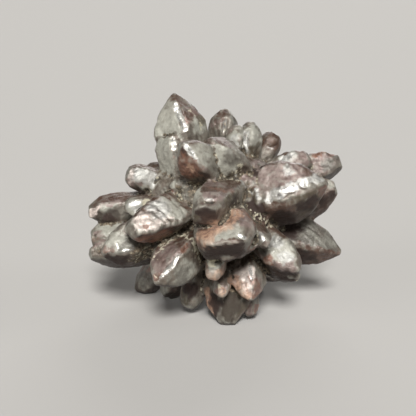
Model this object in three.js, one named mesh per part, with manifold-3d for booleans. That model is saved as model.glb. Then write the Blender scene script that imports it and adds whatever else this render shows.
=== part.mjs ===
// A prophecy stone: a burr of blocky iron-oxide crystals grown together round one lumpy core.
// Millimetres, +Z up. The stone rests on three worn crystal tips in the plane z = 0, and its
// origin is the middle of its bounding box, at the level of those tips.
import * as THREE from "three";
import { ConvexGeometry } from "three/addons/geometries/ConvexGeometry.js";
import { mergeVertices } from "three/addons/utils/BufferGeometryUtils.js";
import Module from "manifold-3d";

const CORE_MIDDLE = [0, 1.5, 23.5]; // of the core that the crystals grow from
const CORE_RADII = [16.5, 12, 15]; // its half sizes along X, Y and Z
const CORE_DETAIL = 4; // subdivisions of the core's icosahedron
const CORE_LUMPS = 0.06; // share by which the core's surface swells and sinks
const EDGE_SHARE = 0.11; // share of a facet's width that is lost where a crystal edge is worn off
const UNEVEN = 0.05; // share by which a crystal's corners stray from a regular section
const SPROUTS = 150; // places for small crystals, of which those between the large ones are taken
const SPROUT_CLEAR = 0.72; // how far from a large crystal's axis one stands, as a share of its width
const SPROUT_ROOT = 0.6; // where a small crystal starts, as a share of the core's radii
const SPROUT_REACH = [1.05, 1.25]; // and where it ends
const SPROUT_WIDTH = [5.5, 9];
const TRIM_BOX = 200; // size of the block that levels the tips the stone rests on

// The large crystals. root and tip are the ends of a crystal's axis, size holds the diagonals of
// its section at the shoulder, across and along the crystal's own up direction, and roll turns
// the section about the axis, in degrees.
// corners:  number of edges that run along the crystal
// shoulder: where the widest section lies, as a share of the length from root to tip
// waist:    size of the section at the root against the shoulder
// swell:    how far the faces between shoulder and tip bulge, as a share of the half width
// blunt:    size of the worn end face against the shoulder
// chisel:   length of an edge that closes the crystal instead of a point
// lean:     how far the up corner stands off to the side, as a share of the half width
// ledges:   number of growth steps behind the tip
const CRYSTALS = {
  // top
  spire: {
    root: [-5, 0.5, 26], tip: [-9.8, 4, 50.7], size: [13.8, 13],
    roll: 10, blunt: 0.08, swell: 0.12,
  },
  spire_step: { root: [-6.3, -1, 26], tip: [-9.9, 0.3, 41.5], size: [10.8, 12], roll: -5, blunt: 0.7 },
  brow: { root: [1.5, -1, 28.5], tip: [-7.3, -14.5, 42], size: [10.5, 11], roll: 59, blunt: 0.15 },
  brow_back: {
    root: [8, 4, 26.5], tip: [-1.8, -8.5, 41.2], size: [13.5, 12],
    roll: 10, shoulder: 0.65, blunt: 0.3,
  },
  crown_left: {
    root: [1.5, 7, 30], tip: [2.3, 10, 45.5], size: [9, 8.5],
    roll: 20, blunt: 0.2, swell: 0.2,
  },
  crown_middle: { root: [4.5, 3.5, 30], tip: [4.6, 4, 42.8], size: [6.5, 7], roll: 10, blunt: 0.3 },
  crown_right: { root: [7, 4.5, 29], tip: [8.1, 5.2, 43.3], size: [7.5, 8], blunt: 0.25, swell: 0.2 },
  crown_knob: {
    root: [9.5, 9, 30], tip: [14.5, 12, 39.5], size: [6.2, 6.2],
    roll: 30, corners: 6, blunt: 0.6,
  },
  crown_bud: { root: [5, 0, 29], tip: [6, -3.5, 36.5], size: [6, 5], roll: 40, blunt: 0.4 },
  // right
  wing: {
    root: [4.5, -2.5, 25.5], tip: [25, -8, 32], size: [16, 17],
    roll: 8, shoulder: 0.6, swell: 0.18, blunt: 0.1,
  },
  wing_back: { root: [9, 4, 21], tip: [28.6, 3, 28.2], size: [11, 13.8], shoulder: 0.6, blunt: 0.3 },
  far_wing: { root: [11, 9, 27], tip: [30.2, 8, 33.4], size: [9, 9.5], roll: 15, blunt: 0.45 },
  far_wing_inner: {
    root: [9.5, 6.5, 28.5], tip: [22.3, 6, 34.5], size: [8.5, 9],
    roll: 10, blunt: 0.5,
  },
  spur: {
    root: [9, 3, 18], tip: [29.8, -0.5, 13.2], size: [12, 12.5],
    roll: -8, shoulder: 0.6, swell: 0.2,
  },
  // left
  knob: {
    root: [-8, 3, 27], tip: [-20.6, -0.5, 32.5], size: [7.5, 7],
    roll: 20, corners: 6, blunt: 0.55,
  },
  horn: { root: [-10, 4, 24], tip: [-30, 0, 23], size: [8.5, 8.5], roll: 20, corners: 5, blunt: 0.4 },
  horn_front: { root: [-9, 0, 25], tip: [-20.5, -7.5, 26], size: [7, 6.8], roll: 45, blunt: 0.45 },
  shell: {
    root: [-5, -1, 25.5], tip: [-18.3, -17.6, 23.4], size: [13.5, 10.5],
    roll: 5, blunt: 0.2, ledges: 2,
  },
  paw: { root: [-9, 3, 18], tip: [-29.3, -1.8, 17.3], size: [10, 11], roll: 20, blunt: 0.35 },
  paw_low: { root: [-8, 2, 15], tip: [-29.5, -4, 13.8], size: [10, 10.5], shoulder: 0.65, blunt: 0.3 },
  paw_front: { root: [-8, -1, 20], tip: [-25.7, -11.5, 16.5], size: [12, 12], blunt: 0.15 },
  paw_root: {
    root: [-6, -1, 19], tip: [-15, -8.5, 15.5], size: [9, 9],
    roll: 25, corners: 5, blunt: 0.5,
  },
  bud_left: { root: [-5, -2, 28], tip: [-9.7, -7.5, 31.5], size: [6, 5.5], roll: 20, blunt: 0.3 },
  // front
  nose: {
    root: [4.2, -1.5, 28.8], tip: [-2.8, -25.3, 29.2], size: [12, 12],
    roll: 36, shoulder: 0.6, blunt: 0.42, swell: 0.16,
  },
  keel: {
    root: [2.7, -3, 21.5], tip: [1.3, -27.4, 23.8], size: [15, 12.5],
    roll: 3, corners: 5, lean: -0.5, blunt: 0.1, chisel: 9,
  },
  keel_under: {
    root: [3, -4, 19.5], tip: [2, -24, 20.8], size: [14, 7.5],
    roll: -4, blunt: 0.6, swell: 0.05,
  },
  tusk: { root: [-1.5, -3, 20], tip: [-13.2, -20.5, 12.5], size: [12.5, 13.2], roll: -37, blunt: 0.1 },
  saddle: { root: [4.5, -1, 24], tip: [10.5, -10.5, 24.8], size: [12, 9.5], roll: 15, blunt: 0.45 },
  jaw: { root: [6.5, -1.5, 21], tip: [18.4, -15.3, 13.4], size: [11, 11], blunt: 0.12 },
  jaw_under: { root: [5, -2, 16.5], tip: [19, -10, 10], size: [9, 8], blunt: 0.25 },
  bead: { root: [7, -5, 22], tip: [10.6, -19.6, 21.3], size: [6, 6.5], roll: 20, blunt: 0.4 },
  // bottom
  drop: { root: [1, -6, 17.5], tip: [-0.6, -21.3, 15], size: [6.5, 6.8], roll: 40, blunt: 0.4 },
  ember: { root: [6.5, -3, 15], tip: [7.7, -17, 7.3], size: [10, 9.5], roll: -15, shoulder: 0.6 },
  ember_small: { root: [1.5, -5, 14], tip: [1.2, -18, 8.6], size: [5.5, 5.5], roll: 30, blunt: 0.3 },
  heel: {
    root: [3.2, -3, 14], tip: [2.8, -13.8, 0.2], size: [13.5, 10.5],
    roll: 10, shoulder: 0.5, blunt: 0.3,
  },
  heel_side: { root: [5, -2.5, 14], tip: [8.3, -11, 1.2], size: [6.5, 6.5], blunt: 0.4 },
  foot_left: {
    root: [-7, 3.5, 15], tip: [-19, 9.5, 0], size: [8, 8],
    waist: 1.3, corners: 6, blunt: 0.45,
  },
  foot_under: { root: [-4, 1.5, 14], tip: [-12, 1, 2], size: [12, 8], roll: 15, blunt: 0.5 },
  toe: { root: [-3, -2, 14.5], tip: [-6.3, -7, 1.6], size: [6.8, 6.5], corners: 6, blunt: 0.5 },
  // underneath
  under_middle: { root: [0, 3, 16], tip: [-2, 5, 4.5], size: [12, 11], roll: 20, blunt: 0.3 },
  under_right: { root: [5, 2, 16], tip: [16, 1.5, 6], size: [11, 10], roll: 10, blunt: 0.25 },
  under_back: { root: [1, 5, 16], tip: [1, 13.5, 5.5], size: [10, 9], roll: 35, blunt: 0.3 },
  // back, from the left round to the right
  back_high_left: { root: [-7, 4, 26], tip: [-19, 14, 29], size: [11, 11], roll: 15 },
  back_crown: { root: [-3, 5, 28], tip: [-9, 19, 39], size: [13, 12], roll: 30, ledges: 2 },
  back_brow: { root: [3, 6, 26], tip: [3.5, 23, 36], size: [11, 12], roll: 10, blunt: 0.2 },
  back_high_right: { root: [6, 6, 26], tip: [15.5, 20, 32], size: [13, 11], roll: 25 },
  back_right: { root: [8, 5, 24], tip: [24, 12.5, 25.5], size: [11, 11], blunt: 0.2 },
  back_low_right: { root: [7, 5, 20], tip: [21, 15, 14.5], size: [12, 11], roll: 25, blunt: 0.2 },
  back_middle: { root: [3, 5, 24], tip: [7.5, 26, 22.5], size: [14, 13], roll: 10, ledges: 3 },
  back_nose: { root: [-2, 5, 24], tip: [-6, 25, 27.5], size: [11.5, 11.5], roll: 40, blunt: 0.4 },
  back_left: { root: [-6, 5, 22], tip: [-17.5, 20, 20.5], size: [13, 12], roll: 5 },
  back_low_left: { root: [-8, 4, 19], tip: [-25, 10.5, 13.5], size: [11, 11], roll: 30, blunt: 0.3 },
  back_tusk: { root: [-3, 4, 18], tip: [-9.5, 19, 8.5], size: [12, 11], roll: 20 },
  back_keel: { root: [3, 4, 18], tip: [6, 20.5, 9], size: [11, 10], blunt: 0.3 },
  foot_right: { root: [3.5, 3, 14], tip: [10.5, 11.5, 0], size: [10, 9], roll: 10, blunt: 0.45 },
};

// What a crystal is like where the list above doesn't say.
const USUAL = {
  roll: 0,
  corners: 4,
  shoulder: 0.7,
  waist: 0.85,
  swell: 0.15,
  blunt: 0.12,
  chisel: 0,
  lean: 0,
  ledges: 0,
};

const LEDGE_BACK = 0.09; // each growth step ends this share of the length behind the one before
const LEDGE_OUT = 0.08; // and is this share wider
const LEDGE_BLUNT = 0.25; // how much blunter a crystal with growth steps ends

// A repeatable series of numbers from 0 to 1, so that every build gives the same stone.
function series(seed) {
  let state = seed;
  return () => {
    state = (state * 48271) % 2147483647;
    return state / 2147483647;
  };
}

const between = ([low, high], share) => low + (high - low) * share;

// The points of a many-cornered section; each corner is worn off by the given share of a side.
function section(centre, frame, halfWide, halfDeep, corners, lean, worn, next) {
  const ring = Array.from({ length: corners }, (_, k) => {
    const turn = (k * 2 * Math.PI) / corners;
    const reach = 1 + UNEVEN * (2 * next() - 1);
    const off = k === 0 ? lean : 0;
    return centre
      .clone()
      .addScaledVector(frame.side, (Math.sin(turn) + off) * halfWide * reach)
      .addScaledVector(frame.up, Math.cos(turn) * halfDeep * reach);
  });
  if (worn === 0) {
    return ring;
  }
  return ring.flatMap((corner, k) => [
    corner.clone().lerp(ring[(k + corners - 1) % corners], worn),
    corner.clone().lerp(ring[(k + 1) % corners], worn),
  ]);
}

// The crystal's side and up directions: up is as near to vertical as the axis allows.
function crossFrame(axis, roll) {
  const reference = Math.abs(axis.z) > 0.85 ? new THREE.Vector3(0, -1, 0) : new THREE.Vector3(0, 0, 1);
  const side = new THREE.Vector3().crossVectors(axis, reference).normalize();
  const up = new THREE.Vector3().crossVectors(side, axis).normalize();
  const turn = THREE.MathUtils.degToRad(roll);
  side.applyAxisAngle(axis, turn);
  up.applyAxisAngle(axis, turn);
  return { side, up };
}

// One crystal as a convex body: sections at the root, the shoulder, half way up the point and the tip.
function crystalGeometry(crystal, worn, next) {
  const { root, tip, size, roll, corners, shoulder, waist, swell, blunt, chisel, lean } = {
    ...USUAL,
    ...crystal,
  };
  const start = new THREE.Vector3(...root);
  const end = new THREE.Vector3(...tip);
  const frame = crossFrame(end.clone().sub(start).normalize(), roll);
  const [halfWide, halfDeep] = size.map((diagonal) => diagonal / 2);
  const endWide = Math.max(halfWide * blunt, chisel / 2);
  const endDeep = halfDeep * blunt;
  const stations = [
    { at: 0, wide: halfWide * waist, deep: halfDeep * waist },
    { at: shoulder, wide: halfWide, deep: halfDeep },
    {
      at: (shoulder + 1) / 2,
      wide: halfWide * swell + (halfWide + endWide) / 2,
      deep: halfDeep * swell + (halfDeep + endDeep) / 2,
    },
    { at: 1, wide: endWide, deep: endDeep },
  ];
  return new ConvexGeometry(
    stations.flatMap((station) => {
      const centre = start.clone().lerp(end, station.at);
      return section(centre, frame, station.wide, station.deep, corners, lean, worn, next);
    }),
  );
}

// The crystal's growth steps, from the one at the tip to the widest.
function growthSteps(crystal) {
  const { root, tip, size, blunt, ledges } = { ...USUAL, ...crystal };
  return Array.from({ length: ledges + 1 }, (_, k) => {
    const grown = 1 + LEDGE_OUT * (k - ledges / 2);
    return {
      ...crystal,
      tip: tip.map((value, axis) => value + (root[axis] - value) * LEDGE_BACK * k),
      size: size.map((diagonal) => diagonal * grown),
      blunt: blunt + (ledges > 0 ? LEDGE_BLUNT : 0),
    };
  });
}

// The core: a ball swollen into lumps by a few crossed waves.
function coreGeometry() {
  const geometry = new THREE.IcosahedronGeometry(1, CORE_DETAIL);
  const position = geometry.getAttribute("position");
  const middle = new THREE.Vector3(...CORE_MIDDLE);
  const radii = new THREE.Vector3(...CORE_RADII);
  const point = new THREE.Vector3();
  for (let k = 0; k < position.count; k += 1) {
    point.fromBufferAttribute(position, k);
    const broad = Math.sin(7 * point.x + 2 * point.z) * Math.cos(6 * point.y + 1);
    const narrow = 0.6 * Math.sin(11 * point.z + 5 * point.y);
    point.multiply(radii).multiplyScalar(1 + CORE_LUMPS * (broad + narrow)).add(middle);
    position.setXYZ(k, point.x, point.y, point.z);
  }
  return geometry;
}

// The small crystals: spread evenly over the core by the golden angle, each a little astray.
function sprouts() {
  const next = series(7);
  const golden = Math.PI * (3 - Math.sqrt(5));
  const middle = new THREE.Vector3(...CORE_MIDDLE);
  const radii = new THREE.Vector3(...CORE_RADII);
  return Array.from({ length: SPROUTS }, (_, k) => {
    const height = 1 - (2 * (k + 0.5)) / SPROUTS;
    const round = Math.sqrt(1 - height * height);
    const turn = golden * k + 0.6 * (next() - 0.5);
    const heading = new THREE.Vector3(round * Math.cos(turn), round * Math.sin(turn), height);
    heading.multiply(radii);
    const width = between(SPROUT_WIDTH, next());
    const reach = between(SPROUT_REACH, next());
    return {
      root: middle.clone().addScaledVector(heading, SPROUT_ROOT).toArray(),
      tip: middle.clone().addScaledVector(heading, reach).toArray(),
      size: [width, width * (0.8 + 0.4 * next())],
      roll: 90 * next(),
      blunt: 0.25 + 0.3 * next(),
      waist: 1,
    };
  });
}

// Whether a small crystal comes up between the large ones and not through the side of one.
function standsClear(sprout) {
  const point = new THREE.Vector3(...sprout.tip);
  return Object.values(CRYSTALS).every(({ root, tip, size }) => {
    const axis = new THREE.Line3(new THREE.Vector3(...root), new THREE.Vector3(...tip));
    const nearest = axis.closestPointToPoint(point, true, new THREE.Vector3());
    return nearest.distanceTo(point) > SPROUT_CLEAR * Math.min(...size);
  });
}

const wasm = await Module();
wasm.setup();

function solid(geometry) {
  const bare = geometry.clone();
  bare.deleteAttribute("normal");
  bare.deleteAttribute("uv");
  const merged = mergeVertices(bare, 1e-4);
  return new wasm.Manifold(
    new wasm.Mesh({
      numProp: 3,
      vertProperties: merged.getAttribute("position").array,
      triVerts: new Uint32Array(merged.index.array),
    }),
  );
}

function geometryOf(manifold) {
  const { vertProperties, triVerts } = manifold.getMesh();
  const geometry = new THREE.BufferGeometry();
  geometry.setAttribute("position", new THREE.BufferAttribute(new Float32Array(vertProperties), 3));
  geometry.setIndex(new THREE.BufferAttribute(new Uint32Array(triVerts), 1));
  return geometry;
}

function stoneGeometry() {
  const next = series(3);
  const large = Object.values(CRYSTALS)
    .flatMap(growthSteps)
    .map((crystal) => crystalGeometry(crystal, EDGE_SHARE, next));
  const small = sprouts()
    .filter(standsClear)
    .map((crystal) => crystalGeometry(crystal, 0, next));
  let stone = solid(coreGeometry());
  for (const geometry of [...large, ...small]) {
    stone = stone.add(solid(geometry));
  }
  const below = new THREE.BoxGeometry(TRIM_BOX, TRIM_BOX, TRIM_BOX).translate(0, 0, -TRIM_BOX / 2);
  stone = stone.subtract(solid(below));
  const geometry = geometryOf(stone);
  geometry.computeBoundingBox();
  const middle = geometry.boundingBox.getCenter(new THREE.Vector3());
  geometry.translate(-middle.x, -middle.y, -geometry.boundingBox.min.z);
  geometry.computeVertexNormals();
  return geometry;
}

const ironOxide = new THREE.MeshStandardMaterial({
  color: 0x6b5f5a,
  roughness: 0.38,
  metalness: 0.55,
  flatShading: true,
});
const stone = new THREE.Mesh(stoneGeometry(), ironOxide);
stone.name = "prophecy_stone";

const part = new THREE.Group();
part.add(stone);

export default part;
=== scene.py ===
import math
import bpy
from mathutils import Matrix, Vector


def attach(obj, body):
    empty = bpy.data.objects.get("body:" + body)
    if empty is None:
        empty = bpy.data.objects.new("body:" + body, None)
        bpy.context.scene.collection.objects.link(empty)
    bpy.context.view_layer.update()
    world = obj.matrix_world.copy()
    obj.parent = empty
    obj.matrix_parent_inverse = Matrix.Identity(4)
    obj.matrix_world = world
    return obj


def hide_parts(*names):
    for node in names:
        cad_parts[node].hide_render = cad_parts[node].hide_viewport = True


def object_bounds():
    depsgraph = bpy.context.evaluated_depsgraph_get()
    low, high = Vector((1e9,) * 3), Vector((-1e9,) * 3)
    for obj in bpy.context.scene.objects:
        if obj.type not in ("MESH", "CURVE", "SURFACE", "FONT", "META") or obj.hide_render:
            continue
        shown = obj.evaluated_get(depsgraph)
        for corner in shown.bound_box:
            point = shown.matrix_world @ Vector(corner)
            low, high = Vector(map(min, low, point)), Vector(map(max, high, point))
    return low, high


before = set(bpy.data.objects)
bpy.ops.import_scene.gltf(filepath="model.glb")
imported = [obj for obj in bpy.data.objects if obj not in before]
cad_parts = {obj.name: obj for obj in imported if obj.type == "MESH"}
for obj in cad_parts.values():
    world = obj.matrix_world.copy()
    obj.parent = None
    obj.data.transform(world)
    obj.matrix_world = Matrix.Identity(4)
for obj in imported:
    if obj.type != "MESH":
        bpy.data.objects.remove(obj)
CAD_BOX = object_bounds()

from types import SimpleNamespace

import bmesh
import bpy
import numpy as np
from mathutils import Vector, noise
from mathutils.bvhtree import BVHTree

# The looks of the prophecy stone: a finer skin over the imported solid, its material, and the stage.
# The skin is sculpted in millimetres and written back in metres.
NODE = "prophecy_stone"
MM = 0.001

VOXEL = 0.36  # mm, spacing of the mesh that is sculpted
MOST_TRIANGLES = 190_000  # how many triangles the finished skin is cut down to; what the finished skin may have
SHORTEST_EDGE = 0.01  # mm, shorter edges of the finished skin are merged away
CORE = np.array([-0.25, 2.06, 23.5])  # mm, middle of the stone, where its crystals grow from

TARGET = Vector((-2.052, 0.559, 24.0)) * MM  # what the camera looks at
CAMERA_TILT = 15.0  # degrees down
CAMERA_DISTANCE = 217.244 * MM
LENS = 80.0  # mm
SENSOR = 36.0  # mm

# The crystals are called by what they look like: the spire, the brow below it, the crowns at the
# top, the wing and the far wings at the right, the spur under them, the knob, horn, shell and paw
# at the left, and the tusk, nose, keel, bead, jaw, drop, ember and heel in front.

# Colours that sit on one facet, tip or edge of the stone; the silver ones are painted highlights:
# (colour, middle or path in mm, radius in mm, direction that the facet faces, or None for all round)
PATCHES = [
    # spire
    ("pale", (-12, 0, 44), 9, (-0.6, -0.7, 0.3)),
    ("pale", (-12, -2.5, 36), 6, (-0.75, -0.6, -0.1)),
    ("brown", (-8, 3, 49), 3, (0.6, -0.42, 0.68)),
    ("brown", (-6.8, 0.6, 45.6), 2.2, (0.64, -0.46, 0.62)),
    ("pale", (-4.4, 1.4, 43.6), 3.4, (0.66, -0.5, 0.5)),
    ("olive", (-3.6, 2.4, 44.6), 2.4, (0.75, -0.55, 0.35)),
    ("cream", [(-6.2, 2.2, 47), (-4.7, 2, 44.9), (-3.4, 1.9, 42.8)], 1.0, None),
    ("brown", (-10, 4, 50.7), 2.4, None),
    # brow and the crystal behind it
    ("redrust", (-6.1, -13.8, 37.8), 4.6, (-0.39, -0.89, -0.25)),
    ("umber", (-7.2, -14, 40.6), 1.9, (-0.4, -0.9, 0.0)),
    ("rust", (-6.2, -13.6, 36.6), 1.6, None),
    ("redrust", (-6, -12.2, 35.2), 3.6, None),
    ("olive", (-5, -11, 33.4), 1.8, None),
    ("brown", (-5.6, -11.6, 42.4), 3.6, (0.2, -0.2, 1)),
    ("silver", [(-7, -14.1, 42), (-4.3, -14.5, 39.2)], 0.9, None),
    ("pale", (-3.2, -13, 40), 4.5, (0.48, -0.7, 0.53)),
    ("pale", (0, -8.9, 38.5), 6.5, (0.05, -1, 0)),
    ("pale", (2.9, -7.8, 36), 2.4, None),
    ("ash", (3, -7.6, 38), 3, (0.2, -0.95, 0)),
    ("olive", (4.6, -6.8, 34), 1.8, None),
    ("brown", (1.8, -6.2, 41.3), 3.2, (0.42, -0.1, 0.9)),
    # crowns
    ("brown", (1.6, 9, 44.6), 3.8, (-0.1, -0.4, 0.9)),
    ("pale", (4.4, 1.8, 40), 4, (0, -0.9, 0.4)),
    ("silver", (4.2, 1.6, 39.8), 2.0, (0, -0.9, 0.4)),
    ("silver", [(6.7, 2.6, 41), (6.3, 2, 37.6)], 1.2, None),
    ("pale", (7.8, 3.4, 40), 5.5, (0.2, -0.95, 0.3)),
    ("olive", (9, 3, 37), 3.2, None),
    ("brown", (6.4, 4.6, 43.8), 2, (0, 0, 1)),
    ("brown", (14.3, 10.4, 38.6), 4.5, None),
    ("olive", (12.2, 9.2, 37.8), 1.6, None),
    # far wings and wing
    ("silver", (16.4, 5.4, 35.6), 3.2, (-0.2, -0.85, 0.5)),
    ("mauve", (20, 4.8, 35.1), 3, (0.23, -0.73, 0.64)),
    ("brown", (17, 7, 37), 4, (0, 0.1, 1)),
    ("redrust", (26, 8, 36), 5, (0, 0, 1)),
    ("mauve", (25.5, 6.2, 34), 4.5, (0, -0.9, 0.45)),
    ("ash", (26.6, 6.6, 33), 2.6, (0, -0.9, 0.45)),
    ("cream", (22.6, 6, 32.7), 1.3, (-0.1, -0.9, 0.4)),
    ("ash", (29, 7.3, 34), 2.2, (0.2, -0.85, 0.5)),
    ("mauve", (14, -6, 35.6), 11, (-0.1, -0.5, 0.85)),
    ("pale", (11, -7.5, 33.5), 5, (-0.2, -0.6, 0.75)),
    ("brown", (13, -4, 36.6), 5, (-0.2, 0.1, 1)),
    ("brown", (20.5, -6.5, 35.6), 4.5, (0.2, -0.2, 1)),
    ("silver", (15.8, -7.9, 35), 1.9, (0, -0.8, 0.6)),
    ("silver", [(11.4, -10.5, 29.4), (16.5, -10.3, 31.6), (23, -7.7, 33.3)], 1.7, (-0.05, -0.75, 0.66)),
    ("silver", [(6.9, -7.9, 31.4), (7.2, -8.3, 29.8)], 0.9, None),
    ("silver", [(8.7, -8.3, 31.3), (9.2, -8.8, 29.4)], 0.9, None),
    ("silver", [(4.8, -7.1, 33), (5.2, -7.6, 31.4)], 1.1, None),
    ("umber", [(7.8, -9.8, 27), (9.3, -10.4, 25.4)], 2.6, None),
    ("olive", [(8.4, -9.4, 27.6), (10.4, -9.8, 24.4)], 2.2, None),
    ("umber", (8.4, -4.6, 33.8), 1.6, None),
    ("umber", (10.9, -3.4, 35.4), 2.2, None),
    ("brown", (7.8, -7.6, 30.9), 1.1, None),
    # faces that look down: their brown and umber are partly the stone's colour and partly painted shade
    ("brown", (13.5, -10.6, 26.4), 7, (0, -0.7, -0.7)),
    ("umber", (15, -9, 23.6), 5, (0, -0.7, -0.7)),
    ("olive", (20, -9.8, 28), 6, (0.55, -0.73, -0.4)),
    ("umber", (20.7, -9.5, 27), 4.4, (0.6, -0.7, -0.4)),
    ("pale", (27, 2.6, 29.6), 2, (0.2, -0.68, 0.7)),
    ("brown", (27, 1, 27), 6, (0.5, -0.85, 0)),
    ("umber", (25.6, 1, 25.4), 3.4, (0.5, -0.85, 0)),
    ("umber", (27.2, 1.6, 27), 3.2, (0.5, -0.85, -0.2)),
    ("umber", (17.4, -0.6, 19.2), 4, None),
    # spur
    ("ash", (24, -1, 17.2), 8, (0.2, -0.67, 0.72)),
    ("pale", (26.5, -1.8, 16.4), 3.2, (0.2, -0.67, 0.72)),
    # a face that looks down: its brown and umber are partly the stone's colour and partly painted shade
    ("brown", (23, -2.8, 13.5), 8, (0.1, -0.85, -0.5)),
    ("umber", (20, -2.8, 12.4), 5, (0, -0.8, -0.6)),
    # left
    ("silver", (-16.4, -1.3, 32.4), 4.6, (0.1, -0.9, 0.35)),
    ("mauve", (-17.6, -2.2, 31), 1.5, None),
    ("pale", (-16.4, -1.8, 31.6), 3.6, None),
    ("pink", (-20.2, -1.4, 32.4), 2.2, (-0.4, -0.9, 0.1)),
    ("brown", (-17.8, 0, 34.3), 4.4, (0, -0.1, 1)),
    ("brown", (-24.5, 2.2, 27), 7, (-0.1, 0, 1)),
    ("mauve", (-24.5, 0, 26.2), 5, (-0.1, -0.35, 0.92)),
    ("pink", (-28.4, -0.6, 24.4), 2.6, (-0.4, -0.9, 0.1)),
    ("pale", (-25.4, -1.5, 25.2), 3.2, (0, -1, 0.1)),
    ("dusk", (-24.6, -1.8, 22.6), 3.2, (0, -1, -0.2)),
    ("dusk", (-27.2, -1.4, 22.6), 2.8, None),
    ("umber", (-25.4, -1.5, 21.6), 2.2, None),
    ("pale", (-18.6, -7.6, 26.6), 3.4, None),
    ("silver", (-18.4, -7.6, 26.4), 2.2, None),
    ("cream", (-15.4, -7.2, 27.4), 1.9, None),
    ("brown", (-15.8, -13.6, 28), 1.7, None),
    ("brown", (-13.6, -11, 29.3), 1.6, None),
    ("brown", (-11, -9.4, 29), 1.5, None),
    ("pale", (-10.8, -10.6, 28.4), 3.4, (0.4, -0.35, 0.85)),
    ("silver", (-12.6, -13.4, 27.2), 4, (0.2, -0.58, 0.79)),
    ("pale", (-9.9, -12.6, 26.4), 4.4, (0.3, -0.5, 0.82)),
    ("pink", [(-12.4, -15.2, 26), (-10.6, -14.2, 25.8)], 1.4, None),
    ("pink", (-15.2, -17.3, 24.9), 6, (0.06, -0.71, 0.7)),
    ("redrust", (-15.6, -17.7, 24.7), 0.9, None),
    ("redrust", (-14.6, -15, 20.8), 6.5, (0.3, -0.6, -0.72)),
    ("pale", (-25.4, -2.4, 20), 5, (-0.2, -0.5, 0.82)),
    ("mauve", (-28, -3, 17.4), 2.6, (-0.4, -0.4, 0.8)),
    ("pale", (-22.8, -10.6, 19.6), 3.4, (-0.1, -0.8, 0.6)),
    ("ash", (-19.6, -12.2, 17.6), 3.6, (-0.1, -0.8, 0.6)),
    # a face that looks down: its umber is partly the stone's colour and partly painted shade
    ("umber", (-22.6, -11, 14.3), 4.6, (0, -0.7, -0.7)),
    ("olive", (-17, -9.6, 16), 4, None),
    ("grit", (-16.4, -9.6, 15.6), 4.8, None),
    ("cream", (-15.4, -9, 13.6), 1.2, None),
    ("grit", (-17.4, -11.6, 17.2), 3, (0.57, -0.82, 0)),
    # tusk
    ("mauve", (-11.4, -17, 17.6), 6, (-0.5, -0.45, 0.73)),
    ("pale", (-13.4, -17.8, 15), 2, (-0.6, -0.62, 0.51)),
    ("redrust", (-7.8, -16.6, 19.8), 2.4, (0.38, -0.51, 0.77)),
    ("pale", (-6.5, -17, 14.4), 4, (0.8, -0.58, 0.1)),
    ("ash", (-7.6, -17.6, 12.8), 4.4, (0.29, -0.95, -0.14)),
    ("cream", (-13.7, -19.1, 13.6), 0.8, None),
    # the hollow behind the nose
    ("grit", (-5.2, -8.3, 31), 3, None),
    ("grit", (-8, -7.6, 30.4), 1.6, None),
    ("pale", (-10.2, -6.9, 31.6), 1.8, None),
    # nose
    ("mauve", (-1.2, -13.4, 33.4), 4.6, (0.1, -0.1, 1)),
    ("redrust", (0.2, -17.4, 33), 2.3, (0.13, -0.1, 1)),
    ("redrust", (2.6, -16.4, 32.5), 1.8, (0.13, -0.1, 1)),
    ("pale", (-4.4, -19.5, 31.9), 5, (-0.63, -0.28, 0.73)),
    ("mauve", (-1, -21.4, 32.3), 3.4, (0.05, -0.37, 0.93)),
    # painted shade: umber on the nose's end face, which looks down and away from the light
    ("umber", (-2.6, -24.8, 28.8), 3.5, (-0.28, -0.96, 0)),
    ("umber", (-2.6, -24.8, 27.6), 2.6, None),
    ("olive", (-5.4, -22.4, 28.6), 3.6, (-0.95, -0.2, 0)),
    ("umber", (-1.8, -24.6, 28.5), 3.4, None),
    ("olive", (3, -17.5, 31), 6, (0.9, -0.39, 0)),
    ("dusk", (3.4, -17.2, 29.6), 4.4, (0.9, -0.39, 0)),
    # keel
    ("rust", [(3.6, -19.6, 28.6), (2.2, -22.6, 27)], 2.9, (-0.1, -0.35, 0.93)),
    ("rust", [(0, -23.4, 26), (-3, -23.8, 24.8), (-2.6, -26, 24)], 2.5, None),
    ("pale", (1.7, -25, 25.4), 4.4, (-0.12, -0.58, 0.8)),
    ("mauve", (6.4, -21.7, 27.1), 3.4, (0.5, -0.38, 0.78)),
    ("redrust", (7.2, -18.4, 26.8), 3.4, (0.7, -0.1, 0.7)),
    ("brown", [(-1.4, -26.6, 23.9), (1, -27, 24), (4, -26.6, 24)], 1.0, None),
    # the keel's underside: its umber is partly the stone's colour and partly painted shade
    ("umber", (1.5, -24.6, 21.5), 8, (0.05, -0.7, -0.7)),
    ("brown", (11, -9.8, 23.4), 3.4, None),
    # jaw and bead
    ("pale", (15, -13.8, 17.2), 4.6, (-0.09, -0.88, 0.47)),
    ("silver", (15.4, -14.2, 16.8), 2.2, (-0.09, -0.88, 0.47)),
    ("silver", (13.2, -11.8, 19.4), 2.4, (-0.36, -0.64, 0.68)),
    ("redrust", (11.3, -13.6, 15.8), 1.8, None),
    ("mauve", (15, -15, 14), 4, (-0.13, -0.96, -0.27)),
    # the jaw's underside: its umber is partly the stone's colour and partly painted shade
    ("umber", (15.3, -12.3, 11.4), 5, (-0.1, -0.7, -0.7)),
    ("cream", (18.8, -9.3, 9.6), 1.3, None),
    ("silver", (9.6, -18.6, 22.6), 1.8, (-0.1, -0.7, 0.7)),
    ("mauve", (10.6, -18.4, 21.6), 2.2, (0.5, -0.85, 0)),
    # drop, ember, heel
    ("pale", (-1, -19, 17.2), 4, (0.05, -0.5, 0.85)),
    ("cream", (-1.4, -19.2, 17.1), 1.8, (0.05, -0.58, 0.81)),
    ("rust", [(-2, -20.6, 14.2), (0, -20.4, 14)], 1.8, None),
    ("pale", (4.6, -12.8, 12.2), 2.6, None),
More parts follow.
